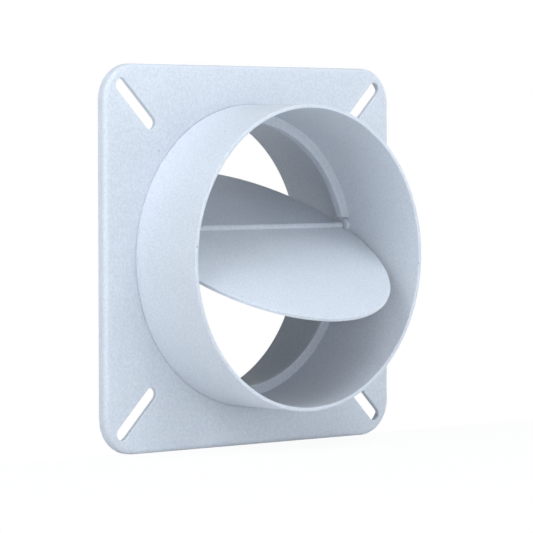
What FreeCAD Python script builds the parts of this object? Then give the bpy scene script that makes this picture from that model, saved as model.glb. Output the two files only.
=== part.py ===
import FreeCAD, Part
import math
import os

from FreeCAD import Vector

# Backdraft damper for a round duct: a moulded housing with a flap sprung into it.
# Sizes are in millimetres. X runs to the right and Z up, seen from the room, and Y runs
# into the wall. The origin is on the duct axis, in the plane where the plate meets the wall.

# Spigot in front of the wall and sleeve behind it
tube_radius = 74.8  # outside, the same for both
tip_wall = 1.9  # wall at both open ends
bore_taper = 1.6  # the bore is this much smaller in radius at the flap than at the ends
spigot_length = 48.9  # wall plane to the front rim
sleeve_length = 42.0  # wall plane to the rear rim
rim_round = 0.4
root_round = 1.2  # fillet between the tube and the plate, front and back

# Plate
flange_width = 19.2  # plate beyond the tube, on each side
plate_depth = 5.4  # front face to the wall plane
plate_wall = 2.5
skirt_wall = 2.6  # turned-back border that touches the wall
corner_radius = 18.0
edge_round = 2.2

# Screw slots, one on each diagonal
slot_width = 6.4
slot_tube_gap = 14.7  # slot's inner end to the tube
slot_skirt_gap = 1.4  # slot's outer end to the inside of the skirt

# Flap
flap_setback = 2.5  # wall plane to the closed flap's front face
flap_thickness = 1.8
flap_bore_gap = 1.2  # closed flap's rim to the bore
flap_edge_round = 0.4
bar_radius = 1.85  # half-round bar along the hinge line
open_angle = 59.6  # degrees from closed, as the part is shown

# Half-ring stops that the closed flap meets
seat_width = 4.9  # how far they stand in from the bore
seat_clearance = 0.3  # gap to each face of the closed flap
stop_thickness = 4.4  # upper stop, in front of the flap
seat_thickness = 2.4  # lower seat, behind the flap
seat_round = 0.4

# Hinge
hinge_height = 13.8  # above the duct axis, so that the flap falls shut
boss_radius = 4.2
boss_length = 2.4  # out of the bore, along the hinge line
boss_round = 0.3
boss_end_gap = 0.5  # boss to the end of the bar
boss_side_gap = 0.5  # boss to the lower side of the flap's notch
pin_radius = 1.5
pin_clearance = 0.08
pin_reach = 2.2  # of the pin, past the boss's face
pin_end_gap = 0.4

# Sizes that follow from the ones above
bore_tip_radius = tube_radius - tip_wall
bore_waist_radius = bore_tip_radius - bore_taper
anchor_radius = bore_waist_radius + tip_wall  # stops and bosses end inside the wall, here
plate_half = tube_radius + flange_width
plate_back = plate_wall - plate_depth
flap_back = flap_setback + flap_thickness
flap_radius = bore_waist_radius - flap_bore_gap
seat_radius = bore_waist_radius - seat_width
boss_face = math.sqrt(bore_waist_radius ** 2 - hinge_height ** 2) - boss_length
bar_end = boss_face - boss_end_gap

DUCT = Vector(0, 1, 0)
HINGE = Vector(1, 0, 0)
CENTRE = Vector(0, 0, 0)
hinge_middle = Vector(0, flap_setback, hinge_height)


def rounded_corner(before, corner, after, radius):
    """Start, middle and end of the arc that rounds a corner."""
    to_before = (before - corner).normalize()
    to_after = (after - corner).normalize()
    half_angle = to_before.getAngle(to_after) / 2
    setback = radius / math.tan(half_angle)
    depth = radius / math.sin(half_angle) - radius
    middle = corner + (to_before + to_after).normalize() * depth
    return corner + to_before * setback, middle, corner + to_after * setback


def rounded_face(corners):
    """Flat face in the XY plane through (x, y, radius) corners, each rounded by its radius."""
    points = [Vector(x, y, 0) for x, y, _ in corners]
    arcs = []
    for index, (_, _, radius) in enumerate(corners):
        after = points[(index + 1) % len(points)]
        arcs.append(rounded_corner(points[index - 1], points[index], after, radius))
    edges = []
    for index, (start, middle, end) in enumerate(arcs):
        if not start.isEqual(end, 1e-7):
            edges.append(Part.Arc(start, middle, end).toShape())
        next_start = arcs[(index + 1) % len(arcs)][0]
        if not end.isEqual(next_start, 1e-7):
            edges.append(Part.LineSegment(end, next_start).toShape())
    return Part.Face(Part.Wire(edges))


def turned(corners):
    """Solid turned about the duct axis from (radius, y, rounding) corners."""
    return rounded_face(corners).revolve(CENTRE, DUCT, 360)


def block_across_duct(corners, turn, y_front, y_back):
    """Block between two planes across the duct, from (x, z, rounding) corners turned about its axis."""
    face = rounded_face(corners)
    face.rotate(CENTRE, HINGE, 90)
    face.rotate(CENTRE, DUCT, turn)
    face.translate(DUCT * y_front)
    return face.extrude(DUCT * (y_back - y_front))


def rounded_square(half, radius, y_front, y_back):
    """Square block centred on the duct axis."""
    corners = [(-half, -half, radius), (half, -half, radius), (half, half, radius), (-half, half, radius)]
    return block_across_duct(corners, 0, y_front, y_back)


def box_between(low, high):
    """Box from its lowest corner to its highest."""
    size = high - low
    return Part.makeBox(size.x, size.y, size.z, low)


def tube():
    """Front spigot and rear sleeve, whose bore narrows from both rims to the flap's plane."""
    collar_radius = tube_radius + 2 * root_round
    return turned(
        [
            (bore_tip_radius, -spigot_length, rim_round),
            (tube_radius, -spigot_length, rim_round),
            (tube_radius, -plate_depth, root_round),
            (collar_radius, -plate_depth, 0),
            (collar_radius, plate_back, 0),
            (tube_radius, plate_back, root_round),
            (tube_radius, sleeve_length, rim_round),
            (bore_tip_radius, sleeve_length, rim_round),
            (bore_waist_radius, (flap_setback + flap_back) / 2, 0),
        ]
    )


def screw_slot(turn):
    """Round-ended cutter for the slot on the diagonal at the given turn."""
    corner_reach = (plate_half - corner_radius) * math.sqrt(2) + corner_radius
    inner_end = tube_radius + slot_tube_gap
    outer_end = corner_reach - skirt_wall - slot_skirt_gap
    half_width = slot_width / 2
    corners = [
        (inner_end, -half_width, half_width),
        (outer_end, -half_width, half_width),
        (outer_end, half_width, half_width),
        (inner_end, half_width, half_width),
    ]
    return block_across_duct(corners, turn, -plate_depth, 0)


def plate():
    """Square plate with a rolled edge, a skirt turned back to the wall, and the four slots."""
    body = rounded_square(plate_half, corner_radius, -plate_depth, 0)
    front_edges = [edge for edge in body.Edges if edge.BoundBox.YMax < plate_back]
    body = body.makeFillet(edge_round, front_edges)
    recess = rounded_square(plate_half - skirt_wall, corner_radius - skirt_wall, plate_back, 0)
    opening = Part.makeCylinder(anchor_radius, plate_depth, DUCT * -plate_depth, DUCT)
    slots = [screw_slot(turn) for turn in (45, 135, 225, 315)]
    return body.cut([recess, opening] + slots)


def half_ring(y_front, y_back, z_low, z_high):
    """Stop standing in from the bore, over the part of the circle between two heights."""
    ring = turned(
        [
            (seat_radius, y_front, seat_round),
            (anchor_radius, y_front, 0),
            (anchor_radius, y_back, 0),
            (seat_radius, y_back, seat_round),
        ]
    )
    low = Vector(-anchor_radius, y_front, z_low)
    high = Vector(anchor_radius, y_back, z_high)
    return ring.common(box_between(low, high))


def stops():
    """Upper stop in front of the closed flap, and lower seat behind it."""
    stop_back = flap_setback - seat_clearance
    seat_front = flap_back + seat_clearance
    upper = half_ring(stop_back - stop_thickness, stop_back, hinge_height + boss_radius, anchor_radius)
    lower = half_ring(seat_front, seat_front + seat_thickness, -anchor_radius, hinge_height - boss_radius)
    return [upper, lower]


def boss():
    """Bearing boss on the right side of the bore."""
    length = anchor_radius - boss_face
    body = Part.makeCylinder(boss_radius, length, hinge_middle + HINGE * boss_face, HINGE)
    face_edge = min(body.Edges, key=lambda edge: edge.BoundBox.XMax)
    body = body.makeFillet(boss_round, [face_edge])
    core = Part.makeCylinder(anchor_radius, spigot_length + sleeve_length, DUCT * -spigot_length, DUCT)
    return body.common(core)


def pin_hole():
    """Cutter for the blind hole in the right boss."""
    start = hinge_middle + HINGE * boss_face
    return Part.makeCylinder(pin_radius + pin_clearance, pin_reach + pin_end_gap, start, HINGE)


def on_both_sides(right):
    """A shape of the right side, and its mirror image on the left."""
    return [right, right.mirror(CENTRE, HINGE)]


def housing():
    """Plate, tube, stops and bosses, moulded in one piece."""
    body = tube().fuse([plate()] + stops() + on_both_sides(boss()))
    return body.cut(on_both_sides(pin_hole())).removeSplitter()


def flap():
    """Disc with its hinge bar, end notches and stub pins, moulded in one piece and shown open."""
    disc = turned(
        [
            (0, flap_setback, 0),
            (flap_radius, flap_setback, flap_edge_round),
            (flap_radius, flap_back, flap_edge_round),
            (0, flap_back, 0),
        ]
    )
    notch = box_between(
        Vector(bar_end, flap_setback, hinge_height - boss_radius - boss_side_gap),
        Vector(flap_radius, flap_back, flap_radius),
    )
    disc = disc.cut(on_both_sides(notch))
    bar = Part.makeCylinder(bar_radius, 2 * bar_end, hinge_middle - HINGE * bar_end, HINGE)
    bar_front = box_between(
        Vector(-bar_end, flap_setback - bar_radius, hinge_height - bar_radius),
        Vector(bar_end, flap_setback, hinge_height + bar_radius),
    )
    pin_tip = boss_face + pin_reach
    pins = Part.makeCylinder(pin_radius, 2 * pin_tip, hinge_middle - HINGE * pin_tip, HINGE)
    body = disc.fuse([bar.common(bar_front), pins]).removeSplitter()
    body.rotate(hinge_middle, -HINGE, open_angle)
    return body


os.makedirs("parts", exist_ok=True)
for name, shape in (("housing", housing()), ("flap", flap())):
    shape.exportStep(f"parts/{name}.step")
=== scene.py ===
import math

import bmesh
import bpy
from mathutils import Matrix, Vector


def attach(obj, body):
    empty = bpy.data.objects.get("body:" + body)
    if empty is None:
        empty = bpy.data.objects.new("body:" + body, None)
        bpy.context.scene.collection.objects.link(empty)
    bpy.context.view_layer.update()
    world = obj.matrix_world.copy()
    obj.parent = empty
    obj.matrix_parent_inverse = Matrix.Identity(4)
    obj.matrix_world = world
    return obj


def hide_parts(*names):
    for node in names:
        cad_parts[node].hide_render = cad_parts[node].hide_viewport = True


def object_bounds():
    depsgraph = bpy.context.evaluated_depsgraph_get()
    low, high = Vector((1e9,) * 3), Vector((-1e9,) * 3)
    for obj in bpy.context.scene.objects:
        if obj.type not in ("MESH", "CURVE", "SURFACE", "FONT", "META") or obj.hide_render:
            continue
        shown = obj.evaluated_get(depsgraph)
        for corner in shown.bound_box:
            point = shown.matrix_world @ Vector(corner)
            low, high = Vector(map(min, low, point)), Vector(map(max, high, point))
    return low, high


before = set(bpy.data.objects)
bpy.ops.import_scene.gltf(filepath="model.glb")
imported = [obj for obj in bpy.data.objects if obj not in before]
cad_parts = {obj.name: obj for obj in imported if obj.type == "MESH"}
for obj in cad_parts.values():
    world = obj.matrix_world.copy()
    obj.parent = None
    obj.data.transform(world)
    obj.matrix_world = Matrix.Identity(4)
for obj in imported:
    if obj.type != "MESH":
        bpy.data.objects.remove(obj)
cad_low, cad_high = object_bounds()

# Housing shell
# The square plate, the spigot in front of it and the sleeve behind it are one injection
# moulding in pale blue-white plastic. Its bore narrows from both rims to the flap, and the
# plate is a shallow pan that is screwed flat to the wall. Its sizes are in millimetres.
TUBE_RADIUS = 74.8
BORE_TIP_RADIUS = 72.9
BORE_WAIST_RADIUS = 71.3
WAIST_Y = 3.4
SPIGOT_Y = -48.9
SLEEVE_Y = 42.0
RIM_ROUND = 0.4
TUBE_STEPS = 288

PLATE_FRONT_Y = -5.4
PLATE_BACK_Y = -2.9
COLLAR_RADIUS = 77.2
SLEEVE_ROOT_ROUND = 1.2
FOOT_LINE_RADIUS = 75.6
FOOT_LINE_Y = -5.05
FOOT_LINE_TOP_ROUND = 0.1
FOOT_LINE_ROUND = 0.15

PLATE_HALF = 94.0
CORNER_RADIUS = 18.0
CORNER_STEPS = 18
FRONT_ROUND = 2.2
FRONT_FLAT_INSET = 2.8
SKIRT_WALL = 2.6
SKIRT_ROUND = 0.25
PAN_ROUND = 0.5
PAN_FLAT_INSET = 1.1

SLOT_MIDDLE = 105.49
SLOT_HALF_RUN = 12.79
SLOT_HALF_WIDTH = 3.2
SLOT_END_STEPS = 12
SLOT_FRONT_ROUND = 0.6
SLOT_FRONT_MARGIN = 1.1
SLOT_BACK_ROUND = 0.15
SLOT_BACK_MARGIN = 0.2

BEND_STEPS = 6
SHARP_BEND = math.radians(30)
WELD_GAP = 0.0005
METRES = 0.001

CENTRE = Vector((0, 0, 0))
DUCT = Vector((0, 1, 0))
ACROSS = Vector((1, 0, 0))
QUARTER_TURN = math.pi / 2
FULL_TURN = 2 * math.pi


def rounded_line(corners, closed=False):
    """New line through (point, rounding) corners, with each bend rounded."""
    line = bmesh.new()
    bends = [line.verts.new(point) for point, _ in corners]
    for start, end in zip(bends, bends[1:]):
        line.edges.new((start, end))
    if closed:
        line.edges.new((bends[-1], bends[0]))
    for bend, (_, rounding) in zip(bends, corners):
        if rounding:
            bmesh.ops.bevel(
                line,
                geom=[bend],
                offset=rounding,
                offset_type="OFFSET",
                segments=BEND_STEPS,
                profile=0.5,
                affect="VERTICES",
                material=-1,
            )
    return line


def spun(line, pivot, axis, turn, steps):
    """Sweeps the line round an axis into a skin."""
    bmesh.ops.spin(
        line,
        geom=line.verts[:] + line.edges[:],
        cent=pivot,
        axis=axis,
        angle=turn,
        steps=steps,
        use_merge=turn == FULL_TURN,
        use_duplicate=False,
    )


def taken_in(moulding, skin):
    """Adds a skin to the moulding."""
    carrier = bpy.data.meshes.new("carrier")
    skin.to_mesh(carrier)
    skin.free()
    moulding.from_mesh(carrier)
    bpy.data.meshes.remove(carrier)


def rounded_strip(corners, half_x, half_z, steps):
    """Skin round a rectangle with rounded corners, from (reach, y, rounding) corners."""
    strip = bmesh.new()
    for quarter, (side_x, side_z) in enumerate(((1, 1), (-1, 1), (-1, -1), (1, -1))):
        skin = rounded_line([((reach, y, 0), rounding) for reach, y, rounding in corners])
        spun(skin, CENTRE, -DUCT, QUARTER_TURN, steps)
        turn = Matrix.Rotation(-quarter * QUARTER_TURN, 3, "Y")
        bmesh.ops.rotate(skin, verts=skin.verts, cent=CENTRE, matrix=turn)
        bmesh.ops.translate(skin, verts=skin.verts, vec=(side_x * half_x, 0, side_z * half_z))
        taken_in(strip, skin)
    bmesh.ops.remove_doubles(strip, verts=strip.verts, dist=WELD_GAP)
    for along, half, across in ((0, half_x, 2), (2, half_z, 0)):
        for sign in (1, -1) if half else ():
            open_ends = [
                edge
                for edge in strip.edges
                if edge.is_boundary
                and all(abs(abs(vert.co[along]) - half) < WELD_GAP for vert in edge.verts)
                and all(sign * vert.co[across] > 0 for vert in edge.verts)
            ]
            bmesh.ops.bridge_loops(strip, edges=open_ends)
    return strip


def flat_filled(moulding, y):
    """Fills the flat face between the open rims that lie at one depth."""
    rims = [
        edge
        for edge in moulding.edges
        if edge.is_boundary and all(abs(vert.co.y - y) < WELD_GAP for vert in edge.verts)
    ]
    bmesh.ops.triangle_fill(moulding, edges=rims, use_beauty=True, use_dissolve=False, normal=DUCT)


def finished(name, moulding, plastic, body):
    """Piece from a moulding: in metres, smooth but for its sharp bends, in its body's place."""
    bmesh.ops.scale(moulding, vec=(METRES, METRES, METRES), verts=moulding.verts)
    bmesh.ops.recalc_face_normals(moulding, faces=moulding.faces)
    if moulding.calc_volume(signed=True) < 0:
        bmesh.ops.reverse_faces(moulding, faces=moulding.faces)
    for face in moulding.faces:
        face.smooth = True
    for edge in moulding.edges:
        if edge.calc_face_angle(0) > SHARP_BEND:
            edge.smooth = False
    mesh = bpy.data.meshes.new(name)
    moulding.to_mesh(mesh)
    moulding.free()
    mesh.materials.append(plastic)
    piece = bpy.data.objects.new(name, mesh)
    bpy.context.scene.collection.objects.link(piece)
    shading = piece.modifiers.new("flat_faces_stay_flat", "WEIGHTED_NORMAL")
    shading.keep_sharp = True
    shading.weight = 100
    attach(piece, body)
    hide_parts(body)


PALE_BLUE_WHITE = (0.655, 0.69, 0.733)
HOUSING_ROUGHNESS = 0.5
CLOUD_SWING = 0.025
GRAIN_TINT = (0.86, 0.86, 0.88)
GLOSS_SWING = 0.05
BARE_CELLS = 0.45
SPECK_COLOUR = (0.16, 0.16, 0.17)
RAMP_ENDS = (0.3, 0.7)


def tinted(nodes, links, noise, low, high):
    """Colour between two tints, over the middle of a noise's range."""
    ramp = nodes.new("ShaderNodeValToRGB")
    for stop, position, tint in zip(ramp.color_ramp.elements, RAMP_ENDS, (low, high)):
        stop.position = position
        stop.color = (*tint, 1)
    links.new(noise.outputs["Fac"], ramp.inputs["Fac"])
    return ramp.outputs["Color"]


def moulded_plastic(name, colour, roughness):
    """Matt moulded plastic: flow clouds, a fine spark-eroded grain and a few dark specks."""
    plastic = bpy.data.materials.new(name)
    plastic.use_nodes = True
    nodes = plastic.node_tree.nodes
    links = plastic.node_tree.links
    shader = nodes["Principled BSDF"]
    shader.inputs["IOR"].default_value = 1.47
    shader.inputs["Specular IOR Level"].default_value = 0.1
    place = nodes.new("ShaderNodeTexCoord")

    clouds = nodes.new("ShaderNodeTexNoise")
    clouds.inputs["Scale"].default_value = 26
    clouds.inputs["Detail"].default_value = 5
    clouds.inputs["Roughness"].default_value = 0.65
    links.new(place.outputs["Object"], clouds.inputs["Vector"])
    grain = nodes.new("ShaderNodeTexNoise")
    grain.inputs["Scale"].default_value = 1000
    grain.inputs["Detail"].default_value = 2
    links.new(place.outputs["Object"], grain.inputs["Vector"])
    thin = [part * (1 - CLOUD_SWING) for part in colour]
    dense = [part * (1 + CLOUD_SWING) for part in colour]
    grained = nodes.new("ShaderNodeMix")
    grained.data_type = "RGBA"
    grained.blend_type = "MULTIPLY"
    grained.inputs["Factor"].default_value = 1
    links.new(tinted(nodes, links, clouds, thin, dense), grained.inputs["A"])
    links.new(tinted(nodes, links, grain, GRAIN_TINT, (1, 1, 1)), grained.inputs["B"])

    cells = nodes.new("ShaderNodeTexVoronoi")
    cells.inputs["Scale"].default_value = 75
    links.new(place.outputs["Object"], cells.inputs["Vector"])
    pick = nodes.new("ShaderNodeSeparateColor")
    links.new(cells.outputs["Color"], pick.inputs["Color"])
    chosen = nodes.new("ShaderNodeMath")
    chosen.operation = "GREATER_THAN"
    chosen.inputs[1].default_value = BARE_CELLS
    links.new(pick.outputs["Red"], chosen.inputs[0])
    dot = nodes.new("ShaderNodeMapRange")
    dot.inputs["From Min"].default_value = 0.02
    dot.inputs["From Max"].default_value = 0.045
    dot.inputs["To Min"].default_value = 0.6
    dot.inputs["To Max"].default_value = 0
    links.new(cells.outputs["Distance"], dot.inputs["Value"])
    speck = nodes.new("ShaderNodeMath")
    speck.operation = "MULTIPLY"
    links.new(chosen.outputs["Value"], speck.inputs[0])
    links.new(dot.outputs["Result"], speck.inputs[1])
    flecked = nodes.new("ShaderNodeMix")
    flecked.data_type = "RGBA"
    flecked.inputs["B"].default_value = (*SPECK_COLOUR, 1)
    links.new(speck.outputs["Value"], flecked.inputs["Factor"])
    links.new(grained.outputs["Result"], flecked.inputs["A"])
    links.new(flecked.outputs["Result"], shader.inputs["Base Color"])

    gloss = nodes.new("ShaderNodeMapRange")
    gloss.inputs["To Min"].default_value = roughness - GLOSS_SWING
    gloss.inputs["To Max"].default_value = roughness + GLOSS_SWING
    links.new(grain.outputs["Fac"], gloss.inputs["Value"])
    links.new(gloss.outputs["Result"], shader.inputs["Roughness"])

    relief = nodes.new("ShaderNodeBump")
    relief.inputs["Strength"].default_value = 0.2
    relief.inputs["Distance"].default_value = 0.00005
    links.new(grain.outputs["Fac"], relief.inputs["Height"])
    links.new(relief.outputs["Normal"], shader.inputs["Normal"])
    return plastic


housing_plastic = moulded_plastic("housing_plastic", PALE_BLUE_WHITE, HOUSING_ROUGHNESS)

shell = rounded_line(
    [
        ((COLLAR_RADIUS, PLATE_FRONT_Y, 0), 0),
        ((FOOT_LINE_RADIUS, PLATE_FRONT_Y, 0), FOOT_LINE_TOP_ROUND),
        ((TUBE_RADIUS, FOOT_LINE_Y, 0), FOOT_LINE_ROUND),
        ((TUBE_RADIUS, SPIGOT_Y, 0), RIM_ROUND),
        ((BORE_TIP_RADIUS, SPIGOT_Y, 0), RIM_ROUND),
        ((BORE_WAIST_RADIUS, WAIST_Y, 0), 0),
        ((BORE_TIP_RADIUS, SLEEVE_Y, 0), RIM_ROUND),
        ((TUBE_RADIUS, SLEEVE_Y, 0), RIM_ROUND),
        ((TUBE_RADIUS, PLATE_BACK_Y, 0), SLEEVE_ROOT_ROUND),
        ((COLLAR_RADIUS, PLATE_BACK_Y, 0), 0),
    ]
)
spun(shell, CENTRE, DUCT, FULL_TURN, TUBE_STEPS)
for edge in shell.edges:
    if all(abs(vert.co.y - WAIST_Y) < WELD_GAP for vert in edge.verts):
        edge.smooth = False

border = rounded_strip(
    [
        (CORNER_RADIUS - FRONT_FLAT_INSET, PLATE_FRONT_Y, 0),
        (CORNER_RADIUS, PLATE_FRONT_Y, FRONT_ROUND),
        (CORNER_RADIUS, 0, SKIRT_ROUND),
        (CORNER_RADIUS - SKIRT_WALL, 0, SKIRT_ROUND),
        (CORNER_RADIUS - SKIRT_WALL, PLATE_BACK_Y, PAN_ROUND),
        (CORNER_RADIUS - SKIRT_WALL - PAN_FLAT_INSET, PLATE_BACK_Y, 0),
    ],
    PLATE_HALF - CORNER_RADIUS,
    PLATE_HALF - CORNER_RADIUS,
    CORNER_STEPS,
)
taken_in(shell, border)

for corner in range(4):
    slot = rounded_strip(
        [
            (SLOT_HALF_WIDTH + SLOT_FRONT_MARGIN, PLATE_FRONT_Y, 0),
            (SLOT_HALF_WIDTH, PLATE_FRONT_Y, SLOT_FRONT_ROUND),
            (SLOT_HALF_WIDTH, PLATE_BACK_Y, SLOT_BACK_ROUND),
            (SLOT_HALF_WIDTH + SLOT_BACK_MARGIN, PLATE_BACK_Y, 0),
        ],
        SLOT_HALF_RUN,
        0,
        SLOT_END_STEPS,
    )
    bmesh.ops.translate(slot, verts=slot.verts, vec=ACROSS * SLOT_MIDDLE)
    diagonal = Matrix.Rotation((corner + 0.5) * QUARTER_TURN, 3, "Y")
    bmesh.ops.rotate(slot, verts=slot.verts, cent=CENTRE, matrix=diagonal)
    taken_in(shell, slot)

flat_filled(shell, PLATE_FRONT_Y)
flat_filled(shell, PLATE_BACK_Y)
finished("housing_shell", shell, housing_plastic, "housing")

# Flap stops
# Two half rings moulded with the housing stand in from the bore. The upper one is in front
# of the closed flap and the lower one behind it, so the flap can only swing one way.
WALL_RADIUS = 73.2
SEAT_RADIUS = 66.4
LIP_ROUND = 0.4
END_ROUND = 0.3
END_STEPS = 3
STOP_FRONT_Y, STOP_BACK_Y, STOP_END_Z = -2.2, 2.2, 18.0
SEAT_FRONT_Y, SEAT_BACK_Y, SEAT_END_Z = 4.6, 7.0, 9.6


def cut_through(moulding, point, normal, clear=False):
    """Cuts the moulding at a plane, clears what is past it if asked, and returns the cut."""
    cut = bmesh.ops.bisect_plane(
        moulding,
        geom=moulding.verts[:] + moulding.edges[:] + moulding.faces[:],
        plane_co=point,
        plane_no=normal,
        clear_outer=clear,
    )
    return [item for item in cut["geom_cut"] if isinstance(item, bmesh.types.BMEdge)]


def edges_rounded(moulding, edges, rounding, steps):
    """Rounds the given edges of the moulding."""
    bmesh.ops.bevel(
        moulding,
        geom=edges,
        offset=rounding,
        offset_type="OFFSET",
        segments=steps,
        profile=0.5,
        affect="EDGES",
        material=-1,
    )


def half_ring(front_y, back_y, end_z, side):
    """Half ring above (side 1) or below (side -1) its flat ends."""
    ring = rounded_line(
        [
            ((side * SEAT_RADIUS, front_y, 0), LIP_ROUND),
            ((side * WALL_RADIUS, front_y, 0), 0),
            ((side * WALL_RADIUS, back_y, 0), 0),
            ((side * SEAT_RADIUS, back_y, 0), LIP_ROUND),
        ],
        closed=True,
    )
    spun(ring, CENTRE, -DUCT, FULL_TURN, TUBE_STEPS)
    ends = cut_through(ring, (0, 0, end_z), (0, 0, -side), clear=True)
    bmesh.ops.holes_fill(ring, edges=ends)
    bmesh.ops.recalc_face_normals(ring, faces=ring.faces)
    edges_rounded(ring, ends, END_ROUND, END_STEPS)
    return ring


upper_stop = half_ring(STOP_FRONT_Y, STOP_BACK_Y, STOP_END_Z, 1)
finished("upper_stop", upper_stop, housing_plastic, "housing")
lower_seat = half_ring(SEAT_FRONT_Y, SEAT_BACK_Y, SEAT_END_Z, -1)
finished("lower_seat", lower_seat, housing_plastic, "housing")

# Hinge bosses
# A short round boss on each side of the bore, moulded with the housing, has a blind hole
# in its face. The thin bore wall gives enough for the flap's pins to snap in.
HINGE_LINE = Vector((0, 2.5, 13.8))
HINGE_STEPS = 64
BOSS_RADIUS = 4.2
BOSS_FACE = 67.55
BOSS_ROOT = 71.6
BOSS_ROUND = 0.3
HOLE_RADIUS = 1.58
HOLE_END = 70.15
HOLE_ROUND = 0.12


def turned_on_hinge(corners, side):
    """Skin turned about the hinge line, from (reach, radius, rounding) corners."""
    skin = rounded_line(
        [
            (HINGE_LINE + Vector((side * reach, 0, radius)), rounding)
            for reach, radius, rounding in corners
        ]
    )
    spun(skin, HINGE_LINE, ACROSS, FULL_TURN, HINGE_STEPS)
    bmesh.ops.remove_doubles(skin, verts=skin.verts, dist=WELD_GAP)
    return skin


for name, side in (("boss_right", 1), ("boss_left", -1)):
    boss = turned_on_hinge(
        [
            (BOSS_ROOT, 0, 0),
            (BOSS_ROOT, BOSS_RADIUS, 0),
            (BOSS_FACE, BOSS_RADIUS, BOSS_ROUND),
            (BOSS_FACE, HOLE_RADIUS, HOLE_ROUND),
            (HOLE_END, HOLE_RADIUS, 0),
            (HOLE_END, 0, 0),
        ],
        side,
    )
    finished(name, boss, housing_plastic, "housing")

# Flap disc
# A thin round disc moulded in the same plastic, notched at both ends of the hinge line so
# that it clears the bosses. It is built shut and then swung open about the hinge line.
FLAP_FRONT_Y = 2.5
FLAP_BACK_Y = 4.3
FLAP_RADIUS = 70.1
FLAP_ROUND = 0.4
FLAP_ROUND_STEPS = 5
NOTCH_X = 67.05
NOTCH_LOW_Z = 9.1
OPEN_ANGLE = math.radians(59.6)
FLAP_ROUGHNESS = 0.46
UPRIGHT = Matrix.Rotation(QUARTER_TURN, 3, "X")


def swung_open(moulding):
    """Turns a closed flap's moulding to the angle that it is shown at."""
    turn = Matrix.Rotation(-OPEN_ANGLE, 3, "X")
    bmesh.ops.rotate(moulding, verts=moulding.verts, cent=HINGE_LINE, matrix=turn)
    return moulding


flap_plastic = moulded_plastic("flap_plastic", PALE_BLUE_WHITE, FLAP_ROUGHNESS)

disc = bmesh.new()
bmesh.ops.create_circle(disc, cap_ends=True, radius=FLAP_RADIUS, segments=TUBE_STEPS)
bmesh.ops.rotate(disc, verts=disc.verts, cent=CENTRE, matrix=UPRIGHT)
cut_through(disc, (NOTCH_X, 0, 0), ACROSS)
cut_through(disc, (-NOTCH_X, 0, 0), ACROSS)
cut_through(disc, (0, 0, NOTCH_LOW_Z), (0, 0, 1))
waste = [
    face
    for face in disc.faces
    if abs(face.calc_center_median().x) > NOTCH_X and face.calc_center_median().z > NOTCH_LOW_Z
]
bmesh.ops.delete(disc, geom=waste, context="FACES")
bmesh.ops.dissolve_faces(disc, faces=disc.faces[:])
bmesh.ops.translate(disc, verts=disc.verts, vec=DUCT * FLAP_FRONT_Y)
thickened = bmesh.ops.extrude_face_region(disc, geom=disc.faces[:], use_keep_orig=True)
back = [item for item in thickened["geom"] if isinstance(item, bmesh.types.BMVert)]
bmesh.ops.translate(disc, verts=back, vec=DUCT * (FLAP_BACK_Y - FLAP_FRONT_Y))
rims = [
    edge
    for edge in disc.edges
    if abs(edge.verts[0].co.y - edge.verts[1].co.y) < WELD_GAP
]
edges_rounded(disc, rims, FLAP_ROUND, FLAP_ROUND_STEPS)
finished("flap_disc", swung_open(disc), flap_plastic, "flap")

# Hinge bar and pins
# A half-round bar stiffens the disc along the hinge line and carries a stub pin at each
# end. Bar, pins and disc are one moulding.
BAR_RADIUS = 1.85
BAR_END = 67.05
BAR_BACK_Y = 3.4
BAR_ROUND = 0.3
PIN_RADIUS = 1.5
PIN_TIP = 69.75
PIN_ROOT = 64.0
PIN_ROUND = 0.3

bar = turned_on_hinge(
    [
        (-BAR_END, 0, 0),
        (-BAR_END, BAR_RADIUS, BAR_ROUND),
        (BAR_END, BAR_RADIUS, BAR_ROUND),
        (BAR_END, 0, 0),
    ],
    1,
)
bar_back = cut_through(bar, (0, BAR_BACK_Y, 0), DUCT, clear=True)
bmesh.ops.holes_fill(bar, edges=bar_back)
finished("hinge_bar", swung_open(bar), flap_plastic, "flap")

for name, side in (("pin_right", 1), ("pin_left", -1)):
    pin = turned_on_hinge(
        [
            (PIN_ROOT, 0, 0),
            (PIN_ROOT, PIN_RADIUS, 0),
            (PIN_TIP, PIN_RADIUS, PIN_ROUND),
            (PIN_TIP, 0, 0),
        ],
        side,
    )
    finished(name, swung_open(pin), flap_plastic, "flap")

# Floor
# A plain pale floor that the plate's lower edge stands on, in metres. The camera sees it
# almost white, and it keeps the part's shadow.
FLOOR_SIZE = 8.0
FLOOR_COLOUR = (0.85, 0.85, 0.85)
FLOOR_ROUGHNESS = 0.9
SHADOW_REACH = (0.10, 0.34)
FLOOR_WHITENESS = (0.92, 1)


def backdrop(name, moulding, paint):
    """A piece of the studio, in metres, which isn't part of the damper."""
    mesh = bpy.data.meshes.new(name)
    moulding.to_mesh(mesh)
    moulding.free()
    mesh.materials.append(paint)
    piece = bpy.data.objects.new(name, mesh)
    bpy.context.scene.collection.objects.link(piece)


def seen_as_background(nodes, links):
    """Whether a ray comes from the camera, a mirror or glass, which see plain white."""
    rays = nodes.new("ShaderNodeLightPath")
    seen = rays.outputs["Is Camera Ray"]
    for kind in ("Is Glossy Ray", "Is Transmission Ray"):
        either = nodes.new("ShaderNodeMath")
        either.operation = "MAXIMUM"
        links.new(seen, either.inputs[0])
        links.new(rays.outputs[kind], either.inputs[1])
        seen = either.outputs["Value"]
    return seen


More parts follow.
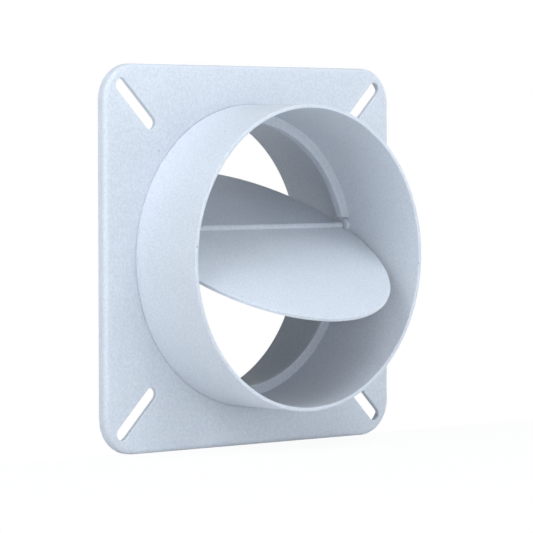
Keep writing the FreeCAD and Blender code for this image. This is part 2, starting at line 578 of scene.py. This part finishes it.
def whitened(paint, surface, seen, reach, shares):
    """Turns the paint's surface white where it is seen, by shares that go with distance."""
    nodes = paint.node_tree.nodes
    links = paint.node_tree.links
    place = nodes.new("ShaderNodeTexCoord")
    distance = nodes.new("ShaderNodeVectorMath")
    distance.operation = "LENGTH"
    links.new(place.outputs["Object"], distance.inputs[0])
    fade = nodes.new("ShaderNodeMapRange")
    fade.inputs["From Min"].default_value = reach[0]
    fade.inputs["From Max"].default_value = reach[1]
    fade.inputs["To Min"].default_value = shares[0]
    fade.inputs["To Max"].default_value = shares[1]
    links.new(distance.outputs["Value"], fade.inputs["Value"])
    share = nodes.new("ShaderNodeMath")
    share.operation = "MULTIPLY"
    links.new(seen, share.inputs[0])
    links.new(fade.outputs["Result"], share.inputs[1])
    white = nodes.new("ShaderNodeEmission")
    blend = nodes.new("ShaderNodeMixShader")
    links.new(share.outputs["Value"], blend.inputs["Fac"])
    links.new(surface, blend.inputs[1])
    links.new(white.outputs["Emission"], blend.inputs[2])
    links.new(blend.outputs["Shader"], nodes["Material Output"].inputs["Surface"])


slab = bmesh.new()
bmesh.ops.create_grid(slab, x_segments=1, y_segments=1, size=FLOOR_SIZE / 2)
bmesh.ops.translate(slab, verts=slab.verts, vec=(0, 0, cad_low.z))

floor_paint = bpy.data.materials.new("floor_paint")
floor_paint.use_nodes = True
nodes = floor_paint.node_tree.nodes
links = floor_paint.node_tree.links
matt = nodes["Principled BSDF"]
matt.inputs["Base Color"].default_value = (*FLOOR_COLOUR, 1)
matt.inputs["Roughness"].default_value = FLOOR_ROUGHNESS
seen = seen_as_background(nodes, links)
whitened(floor_paint, matt.outputs["BSDF"], seen, SHADOW_REACH, FLOOR_WHITENESS)
backdrop("floor", slab, floor_paint)

# Wall
# The plate is fixed to a plain white wall, as it is in use, and the sleeve goes into a hole
# in it. The camera sees the wall from the room only, and it keeps no light off the damper.
WALL_HOLE = 0.0750
WALL_EDGE = 0.30
WALL_Y = 0.0001
WALL_REACH = (0.20, WALL_EDGE)
WALL_WHITENESS = (1, 0)

wall = bmesh.new()
for radius in (WALL_HOLE, WALL_EDGE):
    bmesh.ops.create_circle(wall, cap_ends=False, radius=radius, segments=TUBE_STEPS)
bmesh.ops.bridge_loops(wall, edges=wall.edges[:])
bmesh.ops.rotate(wall, verts=wall.verts, cent=CENTRE, matrix=UPRIGHT)
bmesh.ops.translate(wall, verts=wall.verts, vec=DUCT * WALL_Y)
cut_through(wall, (0, 0, cad_low.z), (0, 0, -1), clear=True)
wall.normal_update()
bmesh.ops.reverse_faces(wall, faces=[face for face in wall.faces if face.normal.y > 0])

wall_paint = bpy.data.materials.new("wall_paint")
wall_paint.use_nodes = True
nodes = wall_paint.node_tree.nodes
links = wall_paint.node_tree.links
nodes.remove(nodes["Principled BSDF"])
unseen = nodes.new("ShaderNodeBsdfTransparent")
facing = nodes.new("ShaderNodeNewGeometry")
front = nodes.new("ShaderNodeMath")
front.operation = "SUBTRACT"
front.use_clamp = True
links.new(seen_as_background(nodes, links), front.inputs[0])
links.new(facing.outputs["Backfacing"], front.inputs[1])
whitened(wall_paint, unseen.outputs["BSDF"], front.outputs["Value"], WALL_REACH, WALL_WHITENESS)
backdrop("wall", wall, wall_paint)

# Light
# Soft studio light: slightly cool square soft boxes close by, above, to the left and in
# front, a wide one further off to the right, plain ones behind, and a dim room that the
# camera sees as white.
COOL = (0.945, 1.0, 1.065)
PLAIN = (1.0, 1.0, 1.0)
ROOM_STRENGTH = 0.02

world = bpy.data.worlds.new("studio")
bpy.context.scene.world = world
world.use_nodes = True
nodes = world.node_tree.nodes
links = world.node_tree.links
room = nodes["Background"]
room.inputs["Color"].default_value = (1, 1, 1, 1)
room.inputs["Strength"].default_value = ROOM_STRENGTH
plain_white = nodes.new("ShaderNodeBackground")
plain_white.inputs["Color"].default_value = (1, 1, 1, 1)
plain_white.inputs["Strength"].default_value = 1.0
blend = nodes.new("ShaderNodeMixShader")
links.new(seen_as_background(nodes, links), blend.inputs["Fac"])
links.new(room.outputs["Background"], blend.inputs[1])
links.new(plain_white.outputs["Background"], blend.inputs[2])
links.new(blend.outputs["Shader"], nodes["World Output"].inputs["Surface"])

for name, turn, height, distance, size, power, colour in (
    ("key", 0, 60, 0.75, 0.5, 3.16, COOL),
    ("upper_left", -75, 35, 0.75, 0.5, 2.68, COOL),
    ("left", -75, 0, 0.75, 0.5, 1.91, COOL),
    ("front_left", -10, 0, 0.75, 0.5, 1.55, COOL),
    ("front_right", 30, 0, 0.75, 0.5, 1.68, COOL),
    ("right", 85, 5, 2.2, 1.0, 23.6, COOL),
    ("rear", 140, 5, 2.2, 1.0, 10.0, PLAIN),
    ("behind", 180, 0, 2.2, 0.3, 4.0, PLAIN),
):
    turn, height = math.radians(turn), math.radians(height)
    way = Vector(
        (
            math.sin(turn) * math.cos(height),
            -math.cos(turn) * math.cos(height),
            math.sin(height),
        )
    )
    lamp_data = bpy.data.lights.new(name, "AREA")
    lamp_data.shape = "SQUARE"
    lamp_data.size = size
    lamp_data.energy = power
    lamp_data.color = colour
    lamp = bpy.data.objects.new(name, lamp_data)
    bpy.context.scene.collection.objects.link(lamp)
    lamp.location = way * distance
    lamp.rotation_mode = "QUATERNION"
    lamp.rotation_quaternion = (-way).to_track_quat("-Z", "Y")

# Camera
# It stands in front and to the left, level with the part, at the photograph's angle. Its
# place is in metres, and its lens and film are in millimetres.
CAMERA_PLACE = (-1.0223, -1.1554, 0.0516)
CAMERA_LENS = 209.4
CAMERA_FILM = 36
CAMERA_RANGE = (0.01, 50)
LOOK_RIGHT = math.radians(41.89)
LOOK_DOWN = math.radians(2.12)
ROLL = math.radians(-0.09)

camera_data = bpy.data.cameras.new("camera")
camera_data.sensor_width = CAMERA_FILM
camera_data.lens = CAMERA_LENS
camera_data.clip_start, camera_data.clip_end = CAMERA_RANGE
camera = bpy.data.objects.new("camera", camera_data)
bpy.context.scene.collection.objects.link(camera)
bpy.context.scene.camera = camera
camera.rotation_mode = "XYZ"
camera.matrix_world = (
    Matrix.Translation(CAMERA_PLACE)
    @ Matrix.Rotation(-LOOK_RIGHT, 4, "Z")
    @ Matrix.Rotation(QUARTER_TURN - LOOK_DOWN, 4, "X")
    @ Matrix.Rotation(ROLL, 4, "Z")
)

bpy.context.scene.view_settings.view_transform = "Standard"
